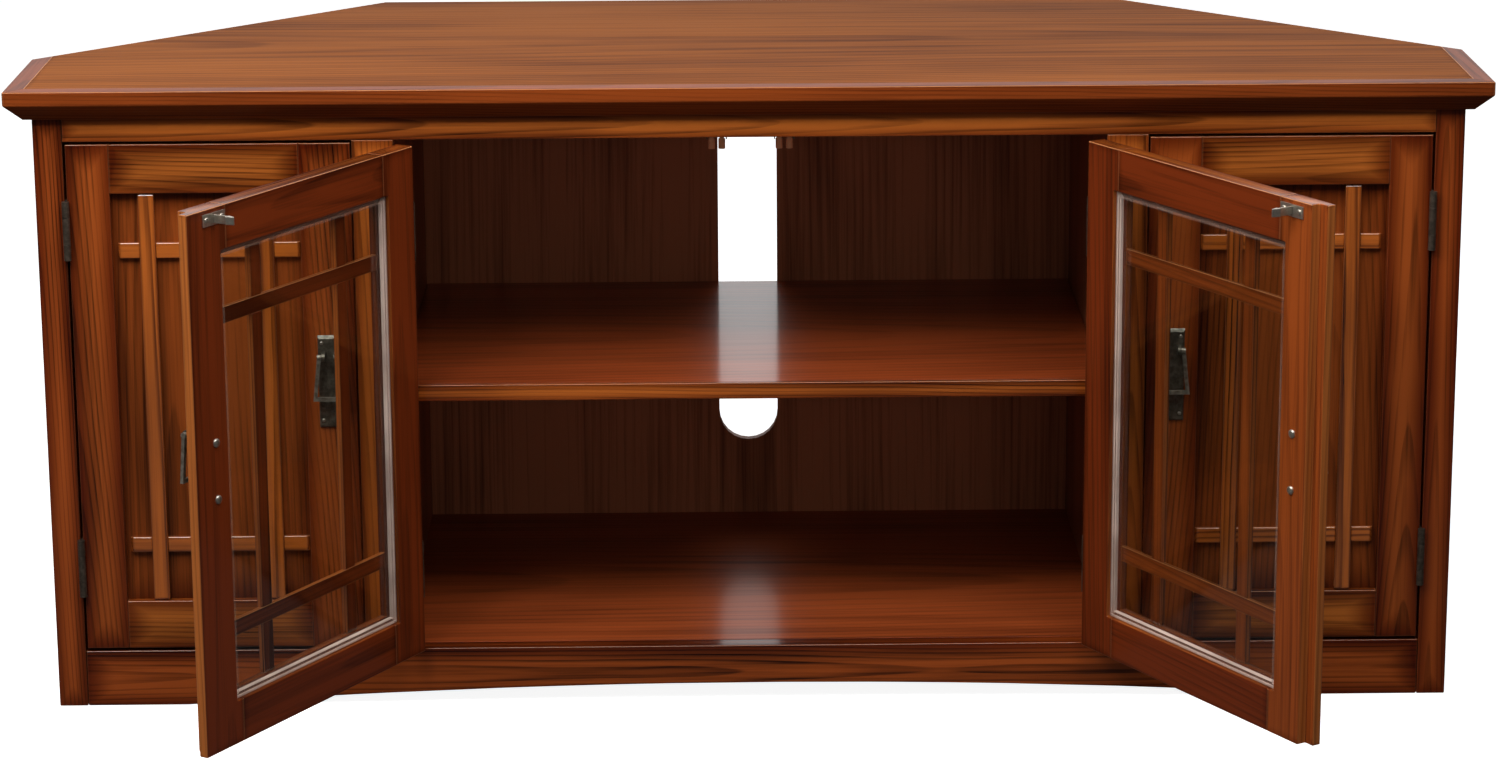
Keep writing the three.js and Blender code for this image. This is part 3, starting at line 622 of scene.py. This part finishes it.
def topPieces():
    lip, half = top["lip"], topX[1]
    backHalf = half + top["returnDepth"] - topY[1]
    face = topZ[1] - top["edgeFace"]
    profile = [(0, face), (0, topZ[1]), (lip, topZ[1]), (lip, topZ[0]), (top["bevelDepth"], topZ[0])]
    fine = top["jointRadius"] / top["arris"]

    def lipping(ends, turn):
        # a moulded strip, mitred or cut off where ends(depth) says
        return skinned([[turn(ends(d)[k], d, z) for d, z in profile] for k in (0, 1)])

    def outer(middle):
        # full rounding on the edges that show outside, a hair on the joints
        near = top["near"]
        onFront = middle.y < near
        onSide = abs(middle.x) > half - near
        onBevel = middle.z < face + 2 * near and middle.y < top["bevelDepth"] + near
        return 1.0 if onFront or onSide or onBevel else fine

    front = lipping(lambda d: (-half + d, half - d), lambda s, d, z: (s, d, z))
    sides = [lipping(lambda d: (d, top["returnDepth"] + d), lambda s, d, z, k=k: (k * (half - d), s, z))
             for k in (-1, 1)]
    inner = half - lip
    field = sweep([(-inner, lip), (inner, lip), (inner, top["returnDepth"] + lip), (backHalf, topY[1]),
                   (-backHalf, topY[1]), (-inner, top["returnDepth"] + lip)], "z", *topZ)
    boards = [board(field, "x", "z", "topVeneer", top["arris"], lambda m: fine),
              board(front, "x", "z", "topLipping", top["arris"], outer)]
    boards += [board(side, "y", "z", "topLipping", top["arris"], outer) for side in sides]
    woodPiece("top", boards, carcassPlace, "carcass", ["top_board"])


topPieces()

# nodes that are one plain board each: hands, grain, broad face, finish, slot, edge rounding in mm
both, single = ("_left", "_right"), ("",)
plainBoards = {
    "corner_post": (both, "z", "y", "postOak", "frame_oak", 1.2),
    "mullion": (both, "z", "y", "railOak", "frame_oak", 0.6),
    "bottom_rail": (single, "x", "y", "postOak", "frame_oak", 1.6),
    "side_panel": (both, "z", "x", "postOak", "frame_oak", 0.4),
    "back_panel": (single, "z", "y", "backOak", "inside_oak", 0.5),
    "base_panel": (single, "x", "z", "baseOak", "inside_oak", 0.4),
    "partition": (both, "z", "x", "insideOak", "inside_oak", 0.4),
}
for kind, (hands, grain, face, wood, slot, radius) in plainBoards.items():
    for hand in hands:
        node = kind + hand
        woodPiece(node + "_board", [board(fromNode(node, carcassPlace), grain, face, wood, radius)],
                  carcassPlace, "carcass", [node])

# the slanted back walls are drawn square to themselves, so that their grain runs upright
slantedWall = dict(turn=45, arris=0.4)
for hand, sign in (("left", 1), ("right", -1)):
    node = "diagonal_panel_" + hand
    slanted = carcassPlace @ Matrix.Rotation(math.radians(sign * slantedWall["turn"]), 4, "Z")
    woodPiece(node + "_board",
              [board(fromNode(node, slanted), "z", "y", "backOak", slantedWall["arris"])],
              slanted, "carcass", [node])

# top rail in front, and the batten behind it
topRail = dict(front=20, batten=17, arris=0.8, battenArris=0.5)
railX, railY, railZ = boxOf("top_rail", carcassPlace)
railBack = railY[0] + topRail["front"]
battenLow = railZ[1] - topRail["batten"]
woodPiece("top_rail_boards", [
    board(block(railX, (railY[0], railBack), railZ), "x", "y", "railOak", topRail["arris"]),
    board(block(railX, (railBack, railY[1]), (battenLow, railZ[1])), "x", "z", "insideOak",
          topRail["battenArris"]),
], carcassPlace, "carcass", ["top_rail"])

# shelf with a solid strip on its front edge
shelf = dict(strip=6, arris=0.3, stripArris=1.0)
shelfX, shelfY, shelfZ = boxOf("centre_shelf", carcassPlace)
stripBack = shelfY[0] + shelf["strip"]
woodPiece("centre_shelf_boards", [
    board(block(shelfX, (stripBack, shelfY[1]), shelfZ), "x", "z", "shelfOak", shelf["arris"]),
    board(block(shelfX, (shelfY[0], stripBack), shelfZ), "x", "y", "railOak", shelf["stripArris"]),
], carcassPlace, "carcass", ["centre_shelf"])


# doors

print("building the doors")
doorCut = dict(edge=1.2, front=4.1, back=24.1, rail=52, hingeStile=44, meetingStile=53.5, recess=8.5,
               rebate=8, lapDepth=10, lap=10, lapGap=1.5, lapPlay=0.15, arris=1.1, panelArris=0.3,
               paneArris=0.4, overrun=5)
# spread is how far apart the uprights stand, as a share of the opening
latticeCut = dict(bar=16.5, arris=2.0, seat=0.3, uprightRecess=1.5, uprightBevel=2.0, crossbarRecess=3.5,
                  crossbarInset=61.1, spread=dict(outer=0.626, glass=0.5393),
                  crossbarGaps=dict(outer=(5.7, 1.2), glass=(0.3, 0.3)),
                  crossbarBevel=dict(outer=2.5, glass=0.5))


def doorBoards(door, kind, width, doorZ):
    # two stiles and two rails, and the opening between them
    cut = doorCut
    y = (cut["front"], cut["back"])
    glazed = kind == "glass"
    # the right glazed door's closing stile gets paler finishes, front and back: painted light for the light
    # that falls on that door
    pale = glazed and door.startswith("right")
    rebateY = cut["front"] + cut["recess"]
    nearEdge = cut["edge"] + cut["hingeStile"] + (cut["rebate"] if glazed else 0)
    opening = (nearEdge, width - cut["meetingStile"])
    openingZ = (doorZ[0] + cut["rail"], doorZ[1] - cut["rail"])

    hingeStile = block((cut["edge"], opening[0]), y, doorZ)
    if glazed:
        deepY = (rebateY, y[1] + cut["overrun"])
        pocket = (openingZ[0] - cut["rebate"], openingZ[1] + cut["rebate"])
        meetingStile = sweep(meetingOutline(door, width, opening[1]), "z", *doorZ)
        meetingStile = carved(meetingStile, block((opening[1] - cut["overrun"], opening[1] + cut["rebate"]),
                                                  deepY, pocket))
        hingeStile = carved(hingeStile, block((opening[0] - cut["rebate"], opening[0] + cut["overrun"]),
                                              deepY, pocket))
    else:
        meetingStile = block((opening[1], width), y, doorZ)

    stileWood = "doorOak" if glazed else "stileOak"
    inside = "doorBackOak" if glazed else "insideOak"
    # the glazed doors' closing edge gets a lighter finish: a painted highlight
    boards = [board(hingeStile, "z", "y", stileWood, cut["arris"], back=inside),
              board(meetingStile, "z", "y", "railOak" if pale else stileWood, cut["arris"],
                    back="doorBackPaintedLit" if pale else inside, edge="paintedLitEdgeOak" if glazed else None)]
    for lip, outerZ, sign in ((openingZ[0], doorZ[0], -1), (openingZ[1], doorZ[1], 1)):
        if glazed:
            deep = lip + sign * cut["rebate"]
            rail = sweep([(y[0], outerZ), (y[0], lip), (rebateY, lip), (rebateY, deep), (y[1], deep),
                          (y[1], outerZ)], "x", *opening)
        else:
            rail = block(opening, y, tuple(sorted((lip, outerZ))))
        boards.append(board(rail, "x", "y", "doorOak", cut["arris"], back=inside))
    return boards, opening, openingZ, rebateY


def meetingOutline(door, width, near):
    # the lapped edges of the glazed doors: the right one's lip lies over the left one's
    cut = doorCut
    y = (cut["front"], cut["back"])
    meeting = width - cut["lap"] / 2 - cut["lapGap"]
    end = width + cut["lap"] / 2
    split = cut["front"] + cut["lapDepth"]
    if door.startswith("right"):
        step = split - cut["lapPlay"]
        return [(near, y[0]), (end, y[0]), (end, step), (meeting, step), (meeting, y[1]), (near, y[1])]
    step = split + cut["lapPlay"]
    return [(near, y[0]), (meeting, y[0]), (meeting, step), (end, step), (end, y[1]), (near, y[1])]


def latticeBoards(kind, back, opening, openingZ, rebateY):
    # uprights halved over the crossbars: each keeps its own half of the depth where they cross
    cut = latticeCut
    half, ease, bevel = cut["bar"] / 2, cut["uprightBevel"], cut["crossbarBevel"][kind]
    seat = rebateY - cut["seat"]
    upright, crossbar = (doorCut["front"] + cut[k] for k in ("uprightRecess", "crossbarRecess"))
    lapY = (crossbar + seat) / 2
    centre = (opening[0] + opening[1]) / 2
    spread = cut["spread"][kind] * (opening[1] - opening[0]) / 2
    uprightXs = (centre - spread, centre + spread)
    levels = (openingZ[0] + cut["crossbarInset"], openingZ[1] - cut["crossbarInset"])
    low, high = openingZ[0] + cut["seat"], openingZ[1] - cut["seat"]
    boards = []
    for x in uprightXs:
        outline = [(upright + ease, low), (upright, low + ease), (upright, high - ease),
                   (upright + ease, high), (seat, high)]
        for level in levels[::-1]:
            outline += [(seat, level + half), (lapY, level + half),
                        (lapY, level - half), (seat, level - half)]
        outline.append((seat, low))
        boards.append(board(sweep(outline, "x", x - half, x + half), "z", "y", "latticeOak",
                            cut["arris"], back=back))
    nearGap, farGap = cut["crossbarGaps"][kind]
    start, end = opening[0] + nearGap, opening[1] - farGap
    for level in levels:
        outline = [(start, seat), (start, crossbar + bevel), (start + bevel, crossbar)]
        for x in uprightXs:
            outline += [(x - half, crossbar), (x - half, lapY), (x + half, lapY), (x + half, crossbar)]
        outline += [(end - bevel, crossbar), (end, crossbar + bevel), (end, seat)]
        boards.append(board(sweep(outline, "z", level - half, level + half), "x", "y", "latticeOak",
                            cut["arris"], back=back))
    return boards


# A screw head: its rim, dome, slot depth and slot reach as shares of its height or radius.
screwCut = dict(sides=24, rim=0.35, dome=0.65, domeAngles=(25, 50, 72), slotFrom=0.45, slotReach=0.62)


def screw(radius, height, slot):
    # a domed screw head with a cross slot, looking along -Y
    cut = screwCut
    rise = height * cut["rim"]
    profile = [(radius, 0.0), (radius, -rise)]
    profile += [(radius * math.cos(a), -rise - height * cut["dome"] * math.sin(a))
                for a in map(math.radians, cut["domeAngles"])]
    turns = [2 * math.pi * i / cut["sides"] for i in range(cut["sides"])]
    head = skinned([[(r * math.cos(t), y, r * math.sin(t)) for t in turns] for r, y in profile])
    reach = radius * cut["slotReach"]
    slots = [block((-a, a), (-height - meshing["past"], -height * cut["slotFrom"]), (-b, b))
             for a, b in ((reach, slot / 2), (slot / 2, reach))]
    return carved(head, *slots)


def moved(solid, x, y, z, turn, axis):
    bmesh.ops.transform(solid, matrix=Matrix.Translation((x, y, z))
                        @ Matrix.Rotation(math.radians(turn), 4, axis), verts=solid.verts)
    return solid


# Screws as head radius, height and slot width. Spots are from the middle of the plate, levels from
# the floor.
pullCut = dict(thickness=3, topBevel=3.4, arris=0.35, corner=20, bailArris=1.4, screw=(2.0, 1.6, 0.5),
               screwSpots=(8.2, 41.5), backScrew=(4.4, 2.6, 1.1), backScrewLevels=(320, 377))
hingeCut = dict(arris=0.3)
strikeCut = dict(arris=0.3, screw=(2.9, 1.3, 0.8), screwSpot=11.5)


def addPull(door, place):
    # drop pull: plate with four screws, and the bail
    cut, node = pullCut, door + "_pull_plate"
    plateX, _, plateZ = boxOf(node, place)
    middleX, middleZ = sum(plateX) / 2, sum(plateZ) / 2
    face = doorCut["front"] - cut["thickness"]
    acrossBy, upBy = cut["screwSpots"]
    screws = [moved(screw(*cut["screw"]), middleX + a * acrossBy, face, middleZ + b * upBy,
                    dice.uniform(0, 90), "Y") for a in (-1, 1) for b in (-1, 1)]
    edge, past = doorCut["front"] - cut["arris"], meshing["past"]
    slope = cut["topBevel"] / (edge - face)
    bevel = sweep([(face - past, plateZ[1] - cut["topBevel"] - slope * past), (edge, plateZ[1]),
                   (edge, plateZ[1] + past), (face - past, plateZ[1] + past)],
                  "x", plateX[0] - past, plateX[1] + past)
    plate = eased(carved(fromNode(node, place), bevel), cut["arris"], corner=cut["corner"])
    bail = eased(fromNode(door + "_pull_bail", place), cut["bailArris"])
    plainPiece(door + "_backplate", [plate], place, door, [node], metals["agedBronze"])
    plainPiece(door + "_backplate_screws", screws, place, door, [], metals["nickelPlate"])
    plainPiece(door + "_swinging_bail", [bail], place, door + "_bail", [door + "_pull_bail"],
               metals["rubbedBronze"])
    return middleX


def addHinges(door, place):
    for level in ("upper", "lower"):
        for leaf, body in (("frame_leaf", "carcass"), ("door_leaf", door)):
            node = f"{door}_{level}_hinge_{leaf}"
            solid = eased(fromNode(node, place), hingeCut["arris"])
            plainPiece(node.replace("hinge_", "butt_"), [solid], place, body, [node],
                       metals["hingeBronze"])


def addPullScrews(door, place, middleX):
    # the pull's two screws, seen on the back of a glazed door
    heads = [moved(screw(*pullCut["backScrew"]), middleX, doorCut["back"], z, 180, "Z")
             for z in pullCut["backScrewLevels"]]
    plainPiece(door + "_pull_screws", heads, place, door, [], metals["nickelPlate"])


def addStrike(door, place):
    cut, node = strikeCut, door + "_strike"
    strikeX, strikeY, strikeZ = boxOf(node, place)
    middleX, middleZ = sum(strikeX) / 2, sum(strikeZ) / 2
    solids = [eased(fromNode(node, place), cut["arris"])]
    solids += [moved(screw(*cut["screw"]), middleX + sign * cut["screwSpot"],
                     strikeY[0] + cut["screw"][1], middleZ, 180, "Z") for sign in (-1, 1)]
    plainPiece(door + "_strike_plate", solids, place, door, [node], metals["nickelPlate"])


# Clear strips round the glass. Ribs are the rib and groove edges as shares of the width.
stripCut = dict(width=7.4, height=4.6, groove=1.2, inset=0.3, gap=0.1, shoulder=(0.9, 1.0),
                ribs=(0.36, 0.44, 0.56, 0.64), arris=0.3, mitreGap=0.05, litReach=0.2, litFacing=0.85)


def addRetainer(door, place, opening, openingZ):
    # clear strips pinned round the glass: two round ribs with a groove between them
    cut, width = stripCut, stripCut["width"]
    low = boxOf(door + "_glass", place)[1][1] + cut["gap"]
    high = low + cut["height"]
    dip = high - cut["groove"]
    run, drop = cut["shoulder"]
    ribs = [width * share for share in cut["ribs"]]
    profile = [(0, low), (0, high - drop), (run, high), (ribs[0], high), (ribs[1], dip), (ribs[2], dip),
               (ribs[3], high), (width - run, high), (width, high - drop), (width, low)]
    edge = doorCut["rebate"] - cut["inset"]
    x = (opening[0] - edge, opening[1] + edge)
    z = (openingZ[0] - edge, openingZ[1] + edge)
    strips = [mitredStrip(profile, lambda d, t, side=side, sign=sign: (side + sign * d, t), z)
              for side, sign in ((x[0], 1), (x[1], -1))]
    strips += [mitredStrip(profile, lambda d, t, side=side, sign=sign: (t, side + sign * d), x)
               for side, sign in ((z[0], 1), (z[1], -1))]
    piece = plainPiece(door + "_glass_retainers", [eased(strip, cut["arris"]) for strip in strips], place,
                       door, [], retainers["clearRetainer"])
    # the sides of the ribs on the lower strip and on the one beside the hinges get a paler, less clear copy
    # of the finish: painted light for the light they gather
    piece.data.materials.append(retainers["brightRetainer"])
    back = place.inverted()
    for poly in piece.data.polygons:
        spot = back @ poly.center
        facing = (back.to_3x3() @ poly.normal).normalized()
        onLitStrip = min(spot.x - x[0], spot.z - z[0]) < width + cut["litReach"]
        poly.material_index = 1 if onLitStrip and abs(facing.y) < cut["litFacing"] else 0


def mitredStrip(profile, where, ends):
    # a strip along one side of an opening, cut at 45 degrees at both ends
    rings = []
    for base, sign in ((ends[0], 1), (ends[1], -1)):
        ring = []
        for d, y in profile:
            x, z = where(d, base + sign * (d + stripCut["mitreGap"]))
            ring.append((x, y, z))
        rings.append(ring)
    return skinned(rings)


def hangDoor(door):
    # one door with its lattice, its panel or glass, and its fittings
    place = doorPlace(door)
    kind = "glass" if "glass" in door else "outer"
    (_, width), _, doorZ = boxOf(door + "_frame", place)
    if kind == "glass":
        width -= doorCut["lap"] / 2
    boards, opening, openingZ, rebateY = doorBoards(door, kind, width, doorZ)
    woodPiece(door + "_stiles_and_rails", boards, place, door, [door + "_frame"])
    # the right glazed door's bars get a paler back: painted light
    barBack = "doorBackPaintedLit" if door == "right_glass_door" else "doorBackOak"
    woodPiece(door + "_bars", latticeBoards(kind, barBack, opening, openingZ, rebateY), place, door,
              [door + "_lattice"])
    if kind == "outer":
        panel = fromNode(door + "_panel", place)
        woodPiece(door + "_flat_panel",
                  [board(panel, "z", "y", "panelOak", doorCut["panelArris"], back="insideOak")],
                  place, door, [door + "_panel"])
    else:
        pane = eased(fromNode(door + "_glass", place), doorCut["paneArris"])
        plainPiece(door + "_pane", [pane], place, door, [door + "_glass"], glassFinish)
        addRetainer(door, place, opening, openingZ)
    middleX = addPull(door, place)
    addHinges(door, place)
    if kind == "glass":
        addPullScrews(door, place, middleX)
        addStrike(door, place)


for door in ("left_outer_door", "right_outer_door", "left_glass_door", "right_glass_door"):
    hangDoor(door)

print("fitting the catches")
catchCut = dict(caseArris=0.25, rollerArris=0.4)
for hand in ("left", "right"):
    node = hand + "_catch_case"
    case = eased(fromNode(node, carcassPlace), catchCut["caseArris"])
    plainPiece(node + "_shell", [case], carcassPlace, "carcass", [node], metals["agedBronze"])
    for side in ("outer", "inner"):
        node = f"{hand}_catch_{side}_roller"
        roller = eased(fromNode(node, carcassPlace), catchCut["rollerArris"])
        plainPiece(node + "_wheel", [roller], carcassPlace, node, [node], rollerFinish)


# studio

print("setting up the studio")
studio = dict(floorSize=14.0, floorDrop=0.0005, floorColour=0.86, floorBounce=0.06, floorLift=0.9,
              floorRough=0.9, skyLight=0.15, roomGleam=0.03, roomEdge=(0.0, 0.6))
# Size is a lamp's width and height; mirrored says whether gloss shows it.
lamps = {
    "key": dict(place=(-1.35, -1.35, 2.1), aim=(-0.15, 0, 0.35), size=(1.5, 0.7), watts=22,
                mirrored=True),
    "front": dict(place=(0.4, -4.3, 1.1), aim=(0, 0.2, 0.2), size=(1.6, 1.0), watts=6.5,
                  mirrored=False),
    "overhead": dict(place=(-0.1, -0.74, 1.6), aim=(-0.05, 0.1, 0.4), size=(2.2, 0.7), watts=23,
                     mirrored=True),
    "behind": dict(place=(0, 2.9, 2.0), aim=(0, 0.4, 0.3), size=(2.0, 1.2), watts=16,
                   mirrored=False),
}


def floorFinish():
    material, tree, shader = newMaterial("paleFloor")
    shader.inputs["Roughness"].default_value = studio["floorRough"]
    shader.inputs["Specular IOR Level"].default_value = 0.0
    rays = tree.nodes.new("ShaderNodeLightPath").outputs
    seen = calc(tree, "MAXIMUM", rays["Is Camera Ray"], rays["Is Transmission Ray"])
    pale, dim = ((studio[k],) * 3 for k in ("floorColour", "floorBounce"))
    put(tree, shader.inputs["Base Color"], mixColour(tree, seen, dim, pale))
    shader.inputs["Emission Color"].default_value = (1, 1, 1, 1)
    put(tree, shader.inputs["Emission Strength"], calc(tree, "MULTIPLY", seen, studio["floorLift"]))
    return material


def addFloor():
    mesh = bpy.data.meshes.new("floor")
    size = studio["floorSize"] / 2
    mesh.from_pydata([(-size, -size, 0), (size, -size, 0), (size, size, 0), (-size, size, 0)], [],
                     [(0, 1, 2, 3)])
    mesh.materials.append(floorFinish())
    floor = bpy.data.objects.new("floor", mesh)
    floor.location.z = -studio["floorDrop"]
    bpy.context.scene.collection.objects.link(floor)


def addBackdrop():
    world = bpy.data.worlds.new("studio")
    bpy.context.scene.world = world
    world.use_nodes = True
    sky = world.node_tree
    rays = sky.nodes.new("ShaderNodeLightPath").outputs
    seen = calc(sky, "MAXIMUM", rays["Is Camera Ray"],
                calc(sky, "MAXIMUM", rays["Is Glossy Ray"], rays["Is Transmission Ray"]))
    backdrop = sky.nodes["Background"]
    backdrop.inputs["Color"].default_value = (1, 1, 1, 1)
    # the lit backdrop stands behind the cabinet and the room in front of it is dim: gloss sees both
    way = sky.nodes.new("ShaderNodeSeparateXYZ")
    put(sky, way.inputs[0], sky.nodes.new("ShaderNodeTexCoord").outputs["Generated"])
    room = remap(sky, way.outputs[1], *studio["roomEdge"], studio["roomGleam"], 1.0)
    reflected = calc(sky, "MULTIPLY", calc(sky, "SUBTRACT", seen, rays["Is Camera Ray"]), room)
    unseen = calc(sky, "MULTIPLY", calc(sky, "SUBTRACT", 1.0, seen), studio["skyLight"])
    put(sky, backdrop.inputs["Strength"],
        calc(sky, "ADD", rays["Is Camera Ray"], calc(sky, "ADD", reflected, unseen)))


def addLamp(name, look):
    data = bpy.data.lights.new(name, "AREA")
    data.shape = "RECTANGLE"
    data.size, data.size_y = look["size"]
    data.energy = look["watts"]
    lamp = bpy.data.objects.new(name, data)
    lamp.location = look["place"]
    lamp.visible_glossy = look["mirrored"]
    beam = Vector(look["aim"]) - Vector(look["place"])
    lamp.rotation_euler = beam.to_track_quat("-Z", "Y").to_euler()
    bpy.context.scene.collection.objects.link(lamp)


addFloor()
addBackdrop()
for name, look in lamps.items():
    addLamp(name, look)


# camera, as measured from the photograph

shot = dict(place=(-34.7, -3978.4, 1433.9), yaw=0.85, pitch=13.59, roll=-0.25, focal=3970.5,
            width=1500, height=764, middle=(775.25, 274.04), sensor=36, reach=60)


def addCamera():
    yaw, pitch, roll = (math.radians(shot[k]) for k in ("yaw", "pitch", "roll"))
    ahead = Vector((math.sin(yaw) * math.cos(pitch), math.cos(yaw) * math.cos(pitch), -math.sin(pitch)))
    right = Vector((math.cos(yaw), -math.sin(yaw), 0))
    up = right.cross(ahead)
    rightRolled = right * math.cos(roll) + up * math.sin(roll)
    upRolled = up * math.cos(roll) - right * math.sin(roll)
    data = bpy.data.cameras.new("camera")
    camera = bpy.data.objects.new("camera", data)
    x, y, z = shot["place"]
    turn = Matrix((rightRolled, upRolled, -ahead)).transposed().to_4x4()
    camera.matrix_world = Matrix.Translation((x * mm, topLow.y + y * mm, z * mm)) @ turn
    data.sensor_width = shot["sensor"]
    data.sensor_fit = "HORIZONTAL"
    data.lens = shot["focal"] / shot["width"] * shot["sensor"]
    data.shift_x = (shot["width"] / 2 - shot["middle"][0]) / shot["width"]
    data.shift_y = (shot["middle"][1] - shot["height"] / 2) / shot["width"]
    data.clip_end = shot["reach"]
    bpy.context.scene.collection.objects.link(camera)
    bpy.context.scene.camera = camera


addCamera()
bpy.context.scene.view_settings.view_transform = "Standard"

print("finishing")
